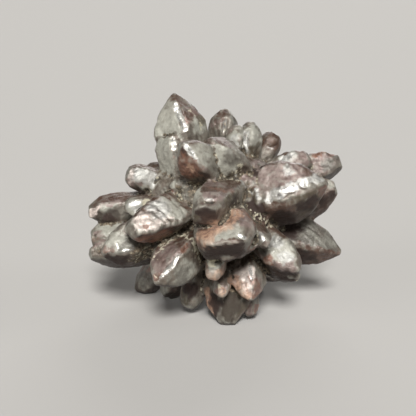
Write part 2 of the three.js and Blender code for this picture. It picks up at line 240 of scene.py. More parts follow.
    ("pink", (5.2, -13.4, 11.4), 5.6, (-0.38, -0.72, 0.58)),
    ("rust", [(3.8, -13.6, 10.8), (6, -15.4, 8)], 2.5, None),
    ("redrust", (8.7, -14.6, 10.6), 2.2, None),
    ("olive", (5.4, -11.2, 13.6), 2, None),
    ("cream", (7, -11.4, 14.3), 1, None),
    ("mauve", (8.6, -14.6, 10.8), 3.2, (0.5, -0.8, 0.35)),
    ("rust", (1, -17.1, 8.9), 2.4, (0, -0.85, 0.3)),
    ("cream", (0.6, -16.4, 10.6), 1, None),
    ("rust", [(-2.8, -9.2, 4.8), (-2.2, -10, 2.4)], 1.3, None),
    ("rust", [(-1.4, -11, 0.9), (-2.6, -8.8, 6.6)], 1.3, None),
    ("umber", (-0.4, -11.7, 4), 4, (-0.7, -0.71, 0.02)),
    ("brown", (-1.8, -10.6, 6.4), 2, None),
    # the heel's front, in the shade under the stone: its olive and dusk are partly its own colour and partly
    # painted shade
    ("olive", (2, -13.6, 5), 5, (0, -0.97, 0.15)),
    ("dusk", (1.8, -13.4, 5.6), 7, (0, -0.97, 0.15)),
    ("ash", (2.6, -13.8, 1.2), 1.6, None),
    ("olive", (4, -12.9, 4.5), 4, (0.4, -0.9, 0.13)),
    ("olive", (-6.7, -7.9, 4.2), 5, (-0.48, -0.88, 0)),
    ("umber", (-6, -7.4, 6.6), 3, None),
    ("ash", (-6.7, -7.9, 2), 2, None),
    ("ash", (-17.5, 5.3, 4.6), 4, (-0.52, -0.85, -0.05)),
    # back
    ("pale", (-10.7, 7.9, 43.7), 8, (-0.77, 0.61, 0.18)),
    ("pale", (-9.6, 19.8, 36), 4.5, (-0.19, 0.92, -0.33)),
    ("brown", (-9.4, 18, 40), 4, (0, 0.1, 1)),
    ("redrust", (-8.4, 23.9, 26.1), 4.5, (-0.93, 0.37, 0)),
    ("pale", (-17.1, 20.5, 21.6), 6, (0, 0.89, 0.45)),
    ("mauve", (-19, 14.9, 28.6), 5, (-0.38, 0.79, -0.48)),
    ("pink", (-26, 5.4, 23.6), 4, (-0.38, 0.76, 0.53)),
    ("silver", (2.2, 12.7, 41.4), 2.2, (0.4, 0.91, 0.1)),
    ("mauve", (1.7, 23, 34.4), 5, (-0.64, 0.76, -0.1)),
    ("pale", (5, 26.7, 23.2), 6, (-0.33, 0.69, 0.64)),
    ("rust", (3.6, 26, 21), 1.8, None),
    ("pale", (11.6, 20.2, 29.3), 4, (-0.43, 0.87, -0.24)),
    ("pale", (21, 12.6, 31.6), 5, (0, 0.97, 0.23)),
    ("pale", (22.2, 14.1, 25.9), 5, (0.27, 0.75, 0.6)),
    ("redrust", (16.3, 17.3, 17), 4, (-0.1, 0.97, 0.25)),
    ("brown", (21, 6.8, 15.5), 4.5, (0.2, 0.8, 0.57)),
    ("redrust", (8.1, 16.9, 13.3), 4.5, (0.74, 0.42, 0.53)),
    ("pale", (-1.3, 13.5, 11.2), 4, (-0.1, 0.75, 0.66)),
    ("pale", (-9.1, 19.4, 11.5), 5, (-0.15, 0.96, 0.23)),
    ("ash", (-17.8, 10.2, 6.6), 4, (-0.46, 0.75, 0.47)),
]
PATCH_SPREAD = 1.3  # how far a patch fades out, as a share of its radius
PATCH_SOFTNESS = 0.9  # share of that over which it fades

# Worn flats along ridges and tips, which catch the light:
# (one end, other end, direction the flat faces, depth, reach to each side), in mm
FLATS = [
    ((-10.1, 2.2, 49.2), (-6.8, -2.6, 42.4), (0.0, -0.85, 0.53), 0.16, 1.3),  # spire
    ((-9.3, -2.6, 41.4), (-9.3, -4.6, 38.6), (0.0, -0.9, 0.44), 0.3, 1.8),
    ((-6.6, -14.3, 41.6), (-6.1, -14.3, 41.4), (0.0, -0.86, 0.51), 0.25, 1.2),  # brow
    ((-5.4, -14.4, 40.3), (-4.9, -14.4, 40.1), (0.0, -0.86, 0.51), 0.25, 1.2),
    ((-2.4, -7.9, 41.2), (-1.8, -8.3, 40.6), (0.0, -0.86, 0.51), 0.35, 1.8),
    ((-2, -22.4, 32.2), (-1.4, -22.4, 32.1), (0.05, -0.8, 0.6), 0.85, 1.6),  # nose
    ((4.8, -25, 26.2), (5.4, -25.2, 25.2), (0.1, -0.84, 0.53), 0.5, 2.0),  # keel
    ((9.6, -18.4, 23.2), (10, -19, 21.8), (-0.05, -0.9, 0.44), 0.2, 1.1),  # bead
    ((-12.6, -20.2, 13.5), (-8.1, -18.5, 18.1), (-0.1, -0.86, 0.5), 0.12, 0.95),  # tusk
    ((1.6, 7.3, 43.6), (1.4, 6.8, 41.6), (0.0, -0.88, 0.47), 0.25, 1.6),  # crowns
    ((4.4, 2, 41.3), (4.2, 1.6, 38.6), (-0.05, -0.9, 0.42), 0.2, 1.4),
    ((6.8, 3.6, 41.9), (6.4, 2.4, 37.4), (-0.1, -0.9, 0.42), 0.25, 1.6),
    ((12.2, 8.7, 36.6), (13.8, 8.7, 36.2), (0.0, -0.9, 0.44), 0.12, 1.0),
    ((-22.9, -11.4, 18.9), (-22.4, -11.8, 18), (0.0, -0.88, 0.47), 0.15, 1.0),  # paw
    ((-20.6, -12.6, 17.6), (-18.8, -12.6, 17.4), (0.05, -0.9, 0.42), 0.15, 0.9),
    ((7.1, -12, 13.9), (7.5, -14.6, 11.6), (0.1, -0.88, 0.46), 0.2, 1.2),  # ember
    ((15.4, -10.6, 31.2), (16.6, -10.5, 31.6), (-0.04, -0.87, 0.49), 0.25, 1.6),  # wing
    ((19, -9.6, 32.2), (20.4, -9.3, 32.6), (-0.04, -0.87, 0.49), 0.25, 1.7),
    ((-19.4, -7.6, 27.1), (-18, -7.7, 26.9), (0.0, -0.88, 0.48), 0.25, 1.6),  # in front of the horn
]

# Faces that slope more than the solid's: (place on the face, direction it faces, reach), in mm
SLOPES = [
    ((-2, -25.1, 31.2), (-0.12, -0.87, -0.48), 5.5),  # nose
]

# Places with stronger lumps: (middle, reach, height, size of the lumps), in mm
LUMPS = [
    ((-16.5, -1.5, 32), 5.5, 0.32, 1.6),  # knob
    ((-6, -13.8, 37.8), 5, 0.22, 1.1),  # brow
    ((-15, -17.2, 24.8), 5, 0.25, 1.4),  # shell
    ((5.6, -14, 11), 5, 0.3, 1.7),  # ember
    ((7.5, 4, 40), 5, 0.25, 1.5),  # crowns
    ((4, 2.4, 40.5), 4, 0.25, 1.5),
    ((18, 5, 35.4), 6, 0.3, 2.0),  # far wings
    ((6.8, -19.5, 26.4), 4.5, 0.2, 1.0),  # keel
    ((26, 6.5, 34), 5, 0.35, 1.9),
    ((14, -12.6, 19), 3, 0.16, 1.1),  # jaw
    ((-26, -1.8, 22.5), 4, 0.2, 1.0),  # horn
    ((12, -7.5, 33.5), 8, 0.2, 2.4),  # wing
    ((-7, -8, 31), 5, 0.3, 1.2),  # behind the nose
]

# Tips that are full and domed: (middle, reach, height), in mm
SWELLS = [
    ((1.6, 8.4, 43.2), 5.5, 0.7),  # crowns
    ((8.4, 4.0, 41.4), 5.0, 0.6),
    ((4.6, 2.6, 40.8), 3.5, 0.4),
    ((-1.1, -20.2, 14.6), 2.6, 0.7),  # drop
    ((-14, 1.8, 41), 2.6, 0.5),  # spire
]

# Crystals whose edges are less worn: (middle, reach), in mm
CRISP = [
    ((-10, 2, 47), 7),  # spire
    ((-5.5, -14, 40), 6),  # brow
    ((19, -9, 32), 9),  # wing
    ((12, -10.5, 29), 6),
    ((-15, -17, 25), 6),  # shell
    ((-10, -19, 16), 9),  # tusk
    ((-3, -22, 31), 6),  # nose
    ((1.5, -25, 24), 8),  # keel
    ((15, -14, 16), 7),  # jaw
]

# Ragged lines of cream crust along the rim of a crystal: the points of each path, in mm
CRUSTS = [
    [(3.6, -6.6, 37.4), (4.9, -7.2, 35.6), (4.6, -6.8, 33.8), (4.2, -8.6, 32), (5.2, -9.6, 29.6)],
    [(-13.5, -16.1, 17.1), (-12.4, -14.9, 18.6), (-11, -12.2, 19.6), (-9.2, -10.9, 20.3), (-7.4, -11.1, 20.9),
     (-6.5, -13.2, 20.8), (-5.1, -14.5, 19.4), (-4.7, -14.1, 18.3)],
    [(5.8, -13.5, 27.8), (6.9, -10.2, 26.1), (8.6, -10.8, 25.2), (10.5, -9.8, 23.8), (12.5, -7.5, 22.2),
     (13.8, -4.9, 20.9)],
    [(3.6, -18, 28.8), (4.6, -15.4, 28.8), (5.4, -13.2, 28.6)],
]


# ---------------------------------------------------------------- mesh tools
def coords(mesh):
    """The vertices in mm, one row each."""
    flat = np.empty(len(mesh.vertices) * 3)
    mesh.vertices.foreach_get("co", flat)
    return flat.reshape(-1, 3) / MM


def set_coords(mesh, points):
    mesh.vertices.foreach_set("co", (points * MM).ravel())
    mesh.update()


def normals(mesh):
    flat = np.empty(len(mesh.vertices) * 3)
    mesh.vertices.foreach_get("normal", flat)
    return flat.reshape(-1, 3)


class Net:
    """The neighbours of each vertex, for spreading values over the surface."""

    def __init__(self, mesh):
        ends = np.empty(len(mesh.edges) * 2, dtype=np.int64)
        mesh.edges.foreach_get("vertices", ends)
        self.a, self.b = ends[0::2], ends[1::2]
        self.count = len(mesh.vertices)
        self.degree = np.bincount(ends, minlength=self.count).astype(float)

    def mean(self, values):
        """The mean of each vertex's neighbours."""
        if values.ndim == 2:
            return np.stack([self.mean(column) for column in values.T], axis=1)
        total = np.bincount(self.a, values[self.b], self.count)
        total += np.bincount(self.b, values[self.a], self.count)
        return total / self.degree

    def spread(self, values, times, share=0.6):
        """Moves each value towards its neighbours' mean, by the given share each time."""
        for _ in range(times):
            values = values + share * (self.mean(values) - values)
        return values


class Facets:
    """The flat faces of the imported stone."""

    def __init__(self, mesh):
        corners = [vertex.co / MM for vertex in mesh.vertices]
        self.tree = BVHTree.FromPolygons(corners, [tuple(face.vertices) for face in mesh.polygons])

    def ways(self, points):
        """Which way the facet nearest to each point faces."""
        return np.array([self.tree.find_nearest(point)[1][:] for point in points.tolist()])


def field(points, size, seed, octaves=1):
    """Smooth noise from about -1 to 1, with features of the given size in mm. The seed shifts it."""
    scaled = (points / size + np.array([seed, 1.7 * seed, -0.6 * seed])).tolist()
    if octaves == 1:
        return np.array([noise.noise(place) for place in scaled])
    return np.array([noise.fractal(place, 0.8, 2.0, octaves) for place in scaled])


def ramp(values, low, high):
    """0 up to low and 1 from high, with a smooth climb between them."""
    share = np.clip((values - low) / (high - low), 0.0, 1.0)
    return share * share * (3 - 2 * share)


def saw(values, rise):
    """A wave from -0.5 to 0.5, once per whole number, that climbs for the given share and drops faster."""
    phase = values % 1.0
    return np.where(phase < rise, phase / rise, (1 - phase) / (1 - rise)) - 0.5


def unit(vector):
    vector = np.array(vector, dtype=float)
    return vector / np.linalg.norm(vector)


def path_gap(points, path):
    """The distance from each point to a path of one or more places."""
    gap = np.linalg.norm(points - np.array(path[0]), axis=1)
    for a, b in zip(path[:-1], path[1:]):
        a, b = np.array(a), np.array(b)
        along = np.clip((points - a) @ (b - a) / np.dot(b - a, b - a), 0, 1)
        gap = np.minimum(gap, np.linalg.norm(points - a - along[:, None] * (b - a), axis=1))
    return gap


def near(points, place, radius, soft=0.5):
    """1 round a place or a path, falling to 0 over the outer, soft share of the radius."""
    gap = path_gap(points, place if isinstance(place, list) else [place]) / radius
    return 1 - ramp(gap, 1 - soft, 1.0)


def facing(ways, direction, low=0.55, high=0.85):
    """1 where the facets face the direction, falling to 0 as they turn away from it."""
    return ramp(ways @ unit(direction), low, high)


# ---------------------------------------------------------------- the skin's mesh
def apply_modifiers(piece):
    """Gives a piece the mesh that its modifiers make."""
    source = piece.data
    bpy.context.view_layer.update()
    graph = bpy.context.evaluated_depsgraph_get()
    piece.data = bpy.data.meshes.new_from_object(
        piece.evaluated_get(graph), preserve_all_data_layers=True, depsgraph=graph)
    piece.modifiers.clear()
    bpy.data.meshes.remove(source)


def drop_specks(mesh):
    """Keeps the largest connected part. The remesh leaves specks where crystals almost touch."""
    shape = bmesh.new()
    shape.from_mesh(mesh)
    unseen = set(shape.verts)
    parts = []
    while unseen:
        part = [unseen.pop()]
        for vert in part:
            found = {edge.other_vert(vert) for edge in vert.link_edges} & unseen
            unseen -= found
            part.extend(found)
        parts.append(part)
    specks = [vert for part in sorted(parts, key=len)[:-1] for vert in part]
    bmesh.ops.delete(shape, geom=specks, context="VERTS")
    shape.to_mesh(mesh)
    shape.free()


def skin_object():
    """A fine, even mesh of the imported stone."""
    skin = bpy.data.objects.new("stone_skin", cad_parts[NODE].data.copy())
    bpy.context.scene.collection.objects.link(skin)
    remesh = skin.modifiers.new("even", "REMESH")
    remesh.mode = "VOXEL"
    remesh.voxel_size = VOXEL * MM
    remesh.adaptivity = 0.0
    apply_modifiers(skin)
    drop_specks(skin.data)
    return skin


def slim(piece):
    """Merges the faces that matter least, mostly on flat ground, down to the most triangles allowed."""
    fewer = piece.modifiers.new("fewer", "DECIMATE")
    fewer.ratio = MOST_TRIANGLES / sum(len(face.vertices) - 2 for face in piece.data.polygons)
    apply_modifiers(piece)
    shape = bmesh.new()
    shape.from_mesh(piece.data)
    bmesh.ops.dissolve_degenerate(shape, dist=SHORTEST_EDGE * MM, edges=shape.edges)
    shape.to_mesh(piece.data)
    shape.free()


stone = skin_object()
net = Net(stone.data)
facets = Facets(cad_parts[NODE].data)


# ---------------------------------------------------------------- sculpting
# How many steps over the net the surroundings reach that a hollow is measured against
FINE_STEPS = 5
CREASE_STEPS = 30
VALLEY_STEPS = 160

EDGE_WEAR = 0.6  # share by which each step of wear lowers what stands out
LEAST_CRISP = 0.35  # how much of the sharp shape is left where the stone is worn most
POLISH_LOSS = 0.75  # how much of the relief is polished off the flats

# Regular marks: sizes and places in mm
STREAK_LENGTH = 6.0
STREAK_HEIGHT = 0.15
FINE_STREAK_LENGTH = 3.5
FINE_STREAK_HEIGHT = 0.10
GROWTH_SPACING = 1.5
GROWTH_HEIGHT = 0.15
LEDGE_MIDDLE = (-15.4, -17.4, 24.9)  # the tip of the shell
LEDGE_AREA = (-12.5, -14.5, 25.5)
LEDGE_SPACING = 1.9
LEDGE_HEIGHT = 0.4
WING_ROOT = np.array([4.25, -1.94, 25.5])
WING_TIP = np.array([24.75, -7.44, 32.0])
WAVE_AREA = (10.5, -7.5, 31.5)
WAVE_LENGTH = 2.2
WAVE_HEIGHT = 0.16

# Single marks: sizes and places in mm
DENT = (-10.3, -1.6, 41.4)  # across the spire
DENT_DEPTH = 0.32
HOLE = (-13.2, -19.6, 13.8)  # in the tip of the tusk
HOLE_RADIUS = 0.9
HOLE_DEPTH = 0.45
SPLIT = [(-28.8, -2.8, 18.2), (-28.6, -3.4, 16.4), (-27.4, -4.5, 15)]  # beside the paw
SPLIT_DEPTH = 0.5


def hollow(points, out, steps):
    """How far the surface sinks (+) or stands out (-) against its surroundings, in mm."""
    return np.einsum("ij,ij->i", net.spread(points, steps) - points, out)


def worn(points, ways):
    """The stone with its edges rounded, less so on the CRISP crystals."""
    soft_ways = net.spread(ways, 3)
    soft_ways /= np.linalg.norm(soft_ways, axis=1)[:, None]

    def wear(start, times, hollow_wear):
        """Lowers what stands out and fills hollows by a smaller share, so that creases stay."""
        for _ in range(times):
            step = net.mean(start) - start
            outward = np.einsum("ij,ij->i", step, soft_ways)
            start = start + step * np.where(outward < 0, EDGE_WEAR, hollow_wear)[:, None]
        return start

    sharp = wear(points, 2, hollow_wear=0.5)
    blunt = wear(sharp, 6, hollow_wear=0.2)
    crispness = ramp(field(points, 8.0, seed=4.4), -0.35, 0.3)
    for place, reach in CRISP:
        crispness = np.maximum(crispness, near(points, place, reach, soft=0.4))
    return blunt + (sharp - blunt) * (LEAST_CRISP + (1 - LEAST_CRISP) * crispness)[:, None]


def sloped(points):
    """The stone with the faces of SLOPES cut down to their planes."""
    for place, way, reach in SLOPES:
        way = unit(way)
        cut = np.maximum((points - place) @ way, 0) * near(points, place, 1.5 * reach, soft=0.35)
        points = points - cut[:, None] * way
    return points


def flattened(points):
    """The stone with its FLATS cut, and a mask of where they are polished, which the material also lightens
    as a painted highlight.
    """
    polish_and_highlight = np.zeros(len(points))
    for start, end, way, depth, reach in FLATS:
        axis = np.array(end, dtype=float) - start
        way = unit(way)
        way = unit(way - axis * (way @ axis) / (axis @ axis))
        level = points @ way
        tops = [np.percentile(level[path_gap(points, [tip]) < 0.6 * reach], 98) for tip in (start, end)]
        share = np.clip((points - start) @ axis / (axis @ axis), 0, 1)
        plane = tops[0] + (tops[1] - tops[0]) * share - depth
        side = path_gap(points, [start, end])
        cut = np.maximum(level - plane, 0) * (1 - ramp(side, 0.6 * reach, reach))
        points = points - cut[:, None] * way
        side = path_gap(points, [start, end])
        polish_and_highlight = np.maximum(polish_and_highlight, ramp(cut, 0.02, 0.12) * (1 - ramp(side, 0.4 * reach, 0.75 * reach)))
    return points, polish_and_highlight


def streaks(points, per_radian, length, seed):
    """Noise drawn out along the crystals, in streaks of the given length and number per radian."""
    outward = points - CORE
    radius = np.linalg.norm(outward, axis=1)
    return field(outward / radius[:, None] * per_radian + (radius / length)[:, None], 1.0, seed)


# Each of the following gives how far it lifts the surface, in mm.
def lumps(points):
    """Broad lumps everywhere, a fine roughness in places, and what LUMPS and SWELLS add."""
    lift = 0.17 * field(points, 6.5, seed=3.1) + 0.11 * field(points, 2.8, seed=7.7)
    roughness = 0.02 + 0.09 * ramp(field(points, 5.0, seed=14.0), -0.45, 0.4)
    lift += roughness * field(points, 1.05, seed=1.3, octaves=2)
    for place, reach, height in SWELLS:
        lift += height * near(points, place, reach, soft=0.8)
    for place, reach, height, size in LUMPS:
        lift += height * near(points, place, reach) * field(points, size, seed=17.0, octaves=2)
    return lift


def crevices(points, crease):
    """Rocky ground in the creases, and scattered pits."""
    rocky = 0.42 * field(points, 1.0, seed=5.0, octaves=2) - 0.3
    pits = ramp(field(points, 1.1, seed=8.8), 0.34, 0.6) * ramp(field(points, 7.0, seed=0.7), 0.0, 0.3)
    return ramp(crease, 0.05, 0.45) * rocky - 0.14 * pits


def growth_steps(points, radius, valley):
    """Steps across the crystals, stronger near their roots."""
    along = radius + 1.3 * field(points, 4.0, seed=9.2) + 2.0 * field(points, 9.0, seed=2.2)
    here = ramp(valley, -0.9, 0.6) * ramp(field(points, 6.0, seed=11.0), -0.05, 0.4)
    return GROWTH_HEIGHT * saw(along / GROWTH_SPACING, rise=0.75) * here


def shell_ledges(points, ways):
    """Ledges round the tip of the shell, on its bright facet."""
    ring = path_gap(points, [LEDGE_MIDDLE])
    ring += 1.1 * field(points, 3.2, seed=1.9) + 0.4 * field(points, 1.3, seed=2.7)
    here = near(points, LEDGE_AREA, 9.0, soft=0.3) * facing(ways, (0.15, -0.6, 0.8), 0.45, 0.8)
    return LEDGE_HEIGHT * saw(ring / LEDGE_SPACING, rise=0.7) * here * ramp(ring, 1.4, 2.6)


def wing_waves(points, ways):
    """Waves across the foot of the wing."""
    along = (points - WING_ROOT) @ unit(WING_TIP - WING_ROOT)
    wave = np.sin((along + 1.5 * field(points, 3.2, seed=5.5)) * 2 * math.pi / WAVE_LENGTH)
    here = near(points, WAVE_AREA, 8.0) * facing(ways, (-0.3, -0.75, 0.55), 0.5, 0.8)
    here *= (1 - ramp(along, 8.5, 12.5)) * (1 + field(points, 2.5, seed=6.5))
    return WAVE_HEIGHT * wave * here


def marks(points, ways):
    """The dent, the hole and the split."""
    level = points[:, 2] - DENT[2] - 0.25 * field(points, 2.0, seed=3.3)
    dent = np.exp(-(level / 0.4) ** 2) * near(points, DENT, 3.0) * facing(ways, (-0.6, -0.7, 0.3))
    hole = near(points, HOLE, HOLE_RADIUS, soft=0.9)
    split = 1 - ramp(path_gap(points, SPLIT), 0.1, 0.8)
    return -DENT_DEPTH * dent - HOLE_DEPTH * hole - SPLIT_DEPTH * split


points = coords(stone.data)
ways = facets.ways(points)
points = worn(points, ways)
set_coords(stone.data, points)
out = normals(stone.data)  # which way is out of the stone
crease = hollow(points, out, CREASE_STEPS)
valley = hollow(points, out, VALLEY_STEPS)
radius = np.linalg.norm(points - CORE, axis=1)
streak = streaks(points, 15.0, STREAK_LENGTH, seed=6.1)
fine_streak = streaks(points, 30.0, FINE_STREAK_LENGTH, seed=2.9)
points, polish_and_highlight = flattened(sloped(points))

lift = lumps(points) + STREAK_HEIGHT * streak + FINE_STREAK_HEIGHT * fine_streak
lift += crevices(points, crease) + growth_steps(points, radius, valley)
lift += shell_ledges(points, ways) + wing_waves(points, ways) + marks(points, ways)
lift *= 1 - POLISH_LOSS * polish_and_highlight
low, high = (np.array(corner) / MM for corner in CAD_BOX)
points = np.clip(points + out * lift[:, None], low, high)
set_coords(stone.data, points)
out = normals(stone.data)


# ---------------------------------------------------------------- masks for the material
FAR = 9.0  # mm, how far a ray looks for the stone
START = 0.2  # mm, how far above the surface it starts
GRAZING = 0.2  # rays that are flatter to the surface than this are left out


def openness(points, out, rays=40):
    """How much of the space in front of each point is free of the stone itself, from 0 to 1."""
    own = BVHTree.FromPolygons(points.tolist(), [tuple(face.vertices) for face in stone.data.polygons])
    height = 1 - (np.arange(rays) + 0.5) * 2 / rays
    turn = np.arange(rays) * math.pi * (3 - math.sqrt(5))
    flat = np.sqrt(1 - height ** 2)
    rays_out = np.stack([flat * np.cos(turn), flat * np.sin(turn), height], axis=1)
    weight = np.clip(out @ rays_out.T, 0, 1)
    weight[weight < GRAZING] = 0
    starts = (points + START * out).tolist()
    hidden = np.zeros(len(points))
    for k, ray in enumerate(rays_out.tolist()):
        for i in np.flatnonzero(weight[:, k]):
            gap = own.ray_cast(starts[i], ray, FAR)[3]
            if gap is not None:
                hidden[i] += weight[i, k] * (1 - gap / FAR)
    return net.spread(1 - hidden / weight.sum(axis=1), 3)


def keep(name, values):
    """Stores a mask, from 0 to 1, with the skin's vertices."""
    layer = stone.data.attributes.new(name, "FLOAT", "POINT")
    layer.data.foreach_set("value", np.clip(values, 0.0, 1.0).astype(np.float32))


def facet_tone(points, ways, turn, length, shift=0.0):
    """A value for each facet, which drifts a little along it."""
    scaled = ways * turn + points / length + shift
    return 0.5 + 0.9 * np.array([noise.noise(place) for place in scaled.tolist()])


def patch_mask(colour, points, ways):
    """Where the patches of one colour lie."""
    mask = np.zeros(len(points))
    for name, place, radius, way in PATCHES:
        if name == colour:
            patch = near(points, place, radius * PATCH_SPREAD, PATCH_SOFTNESS)
            mask = np.maximum(mask, patch if way is None else patch * facing(ways, way))
    return mask


def crust_mask(points):
    """Where the paths of CRUSTS run."""
    mask = np.zeros(len(points))
    for path in CRUSTS:
        mask = np.maximum(mask, 1 - ramp(path_gap(points, path), 0.6, 1.5))
    return mask


crease = hollow(points, out, CREASE_STEPS)
keep("crease", ramp(crease, 0.0, 0.4))
# the edges that stand out, which get a painted highlight
keep("edge", ramp(-crease, 0.12, 0.5))
# the polished flats, which are smoother and are also lightened as a painted highlight
keep("polish_and_highlight", net.spread(polish_and_highlight, 1))
free = openness(points, out)
keep("recess", 1 - ramp(free, 0.3, 0.72))
# the deepest recesses, which get painted shade
keep("deep", 1 - ramp(free, 0.12, 0.4))
upward = net.spread(out[:, 2], 6)
keep("top", ramp(upward, 0.6, 0.95))
# faces that look down, painted umber: partly patina, partly painted shade
keep("under", ramp(-upward, 0.15, 0.7))
keep("streak", 0.5 + 0.7 * fine_streak)
keep("tone", facet_tone(points, ways, turn=1.9, length=26.0))
keep("tone_b", facet_tone(points, ways, turn=2.3, length=20.0, shift=5.0))

# The outlines of patches and crusts wander, because their masks are taken a little to the side.
wander = np.stack([field(points, 1.7, seed, octaves=2) for seed in (21.0, 22.0, 23.0)], axis=1)
aside = points + 0.9 * wander
ways_aside = facets.ways(aside)
ragged = 0.30 * field(points, 1.6, seed=12.0, octaves=2)
for colour in sorted({patch[0] for patch in PATCHES}):
    keep(colour, ramp(patch_mask(colour, aside, ways_aside) + ragged, 0.1, 0.95))
# Crust sits on what stands out, in crumbs.
bumps = 0.06 * field(points, 1.0, seed=4.0) - hollow(points, out, FINE_STEPS)
keep("crust", crust_mask(aside) * ramp(bumps, -0.02, 0.03))


# ---------------------------------------------------------------- material
class Nodes:
    """Short ways to add shader nodes and join them."""

    def __init__(self, material):
        material.use_nodes = True
        self.tree = material.node_tree
        self.tree.nodes.clear()

    def set(self, node, name, value):
        socket = node.inputs[name]
        if isinstance(value, bpy.types.NodeSocket):
            self.tree.links.new(value, socket)
        else:
            socket.default_value = value

    def add(self, kind, sockets):
        node = self.tree.nodes.new(kind)
        for name, value in sockets.items():
            self.set(node, name, value)
        return node

    def mask(self, name):
        node = self.tree.nodes.new("ShaderNodeAttribute")
        node.attribute_name = name
        return node.outputs["Fac"]

    def math(self, operation, a, b=0.0):
        node = self.add("ShaderNodeMath", {0: a, 1: b})
        node.operation = operation
        return node.outputs[0]

    def most(self, *values):
        """The largest of the values."""
        largest = values[0]
        for value in values[1:]:
            largest = self.math("MAXIMUM", largest, value)
        return largest

    def range(self, value, low, high, to_low=0.0, to_high=1.0):
        node = self.add("ShaderNodeMapRange", {0: value, 1: low, 2: high, 3: to_low, 4: to_high})
        node.interpolation_type = "SMOOTHSTEP"
        return node.outputs[0]

    def mix(self, factor, a, b):
        node = self.tree.nodes.new("ShaderNodeMix")
        node.data_type = "RGBA"
        for socket, value in {0: factor, 6: a, 7: b}.items():
            self.set(node, socket, value)
        return node.outputs[2]

    def tint(self, colour, tint, value, start, full, amount=1.0, share=None):
        """Mixes a tint in: none where the value is at start, the given amount where it is at full."""
        factor = self.range(value, start, full, 0.0, amount)
        if share is not None:
            factor = self.math("MULTIPLY", share, factor)
        return self.mix(factor, colour, tint)

    def noise(self, where, size, detail, roughness=0.5, distortion=0.0):
        """A noise node with features of the given size in mm."""
        return self.add("ShaderNodeTexNoise", {
            "Vector": where, "Scale": 1.0 / (size * MM), "Detail": detail,
            "Roughness": roughness, "Distortion": distortion,
        })

    def crumbs(self, where, size):
        """How far out a point is in its crumb, and a number for each crumb. The size is in mm."""
        node = self.add("ShaderNodeTexVoronoi", {"Vector": where, "Scale": 1.0 / (size * MM)})
        kind = self.tree.nodes.new("ShaderNodeSeparateColor")
        self.set(kind, 0, node.outputs["Color"])
        return node.outputs["Distance"], kind.outputs[0]

    def shaken(self, where, size, reach):
        """Places shifted by up to half the reach, so that a pattern laid on them loses its even look."""
        colour = self.noise(where, size, detail=2.0).outputs["Color"]
        shift = self.add("ShaderNodeVectorMath", {0: colour, 1: (0.5, 0.5, 0.5)})
        shift.operation = "SUBTRACT"
        scaled = self.add("ShaderNodeVectorMath", {0: shift.outputs[0], 3: reach * MM})
        scaled.operation = "SCALE"
        return self.add("ShaderNodeVectorMath", {0: where, 1: scaled.outputs[0]}).outputs[0]

    def broken(self, mask, grain, share):
        """A mask with its edge broken up by a grain from 0 to 1."""
        shift = self.math("MULTIPLY", self.math("SUBTRACT", grain, 0.5), share)
        return self.math("ADD", mask, shift)


def srgb(r, g, b):
    """The linear colour of three sRGB values from 11 to 255."""
    return tuple(((c / 255 + 0.055) / 1.055) ** 2.4 for c in (r, g, b)) + (1.0,)


GREY = srgb(134, 131, 121)
WARM_GREY = srgb(116, 106, 95)
PALE = srgb(170, 169, 158)
# a light grey, used as a painted highlight
HIGHLIGHT_SILVER = srgb(188, 187, 182)
ASH = srgb(104, 101, 93)
DUSK = srgb(60, 53, 45)
MAUVE = srgb(136, 118, 112)
PINK = srgb(228, 214, 205)
BROWN = srgb(90, 66, 54)
UMBER = srgb(48, 34, 28)
RUST = srgb(208, 170, 144)
RED_RUST = srgb(124, 84, 66)
CREAM = srgb(196, 190, 168)
TAN = srgb(136, 119, 98)
OLIVE = srgb(86, 77, 61)
BLACK = srgb(26, 22, 17)

BUMP_HEIGHT = 0.3  # mm
CRUMB_SIZE = 0.6  # mm

# The masks of PATCHES in the order in which they are laid on: (mask, colour, amount, raggedness).
# Rust, cream and grit come after them, each in a way of its own.
LAYERS = [
    ("pale", PALE, 0.9, 0.9),
    ("mauve", MAUVE, 0.9, 0.8),
    ("ash", ASH, 0.9, 0.9),
    ("olive", OLIVE, 0.9, 0.8),
    ("dusk", DUSK, 0.9, 0.7),
    ("brown", BROWN, 0.9, 0.8),
    ("umber", UMBER, 1.0, 0.7),
    ("pink", PINK, 0.9, 0.7),
    # painted highlight: the silver patches lighten the colour where the stone shows highlights; they also
    # make it shinier
    ("silver", HIGHLIGHT_SILVER, 0.9, 0.7),
    ("redrust", RED_RUST, 0.85, 0.8),
]


def general_tones(n, grain):
    """Tones that change from facet to facet, with brown tops, and umber undersides that are partly patina and
    partly painted shade.
    """
    tone, tone_b = n.mask("tone"), n.mask("tone_b")
    colour = n.tint(GREY, WARM_GREY, n.broken(tone, grain.blotch, 1.4), 0.3, 0.75)
    colour = n.tint(colour, MAUVE, n.broken(tone_b, grain.mottle, 1.0), 0.6, 0.95)
    stain = n.math("SUBTRACT", n.broken(tone_b, grain.blotch, 1.2), tone)
    colour = n.tint(colour, RED_RUST, stain, 0.32, 0.6, 0.6)
    colour = n.tint(colour, BROWN, n.broken(n.mask("top"), grain.mottle, 0.9), 0.3, 0.9, 0.85)
    return n.tint(colour, UMBER, n.broken(n.mask("under"), grain.mottle, 0.5), -0.1, 1.0, 0.9)


def placed_tones(n, colour, grain):
    """The colour with the patches that have a place of their own."""
    for name, tint, amount, ragged in LAYERS:
        colour = n.tint(colour, tint, n.broken(n.mask(name), grain.mottle, ragged), 0.1, 0.9, amount)
    rust = n.tint(RUST, RED_RUST, grain.mottle, 0.42, 0.66)
    return n.tint(colour, rust, n.broken(n.mask("rust"), grain.mottle, 1.1), 0.1, 1.0, 0.85)


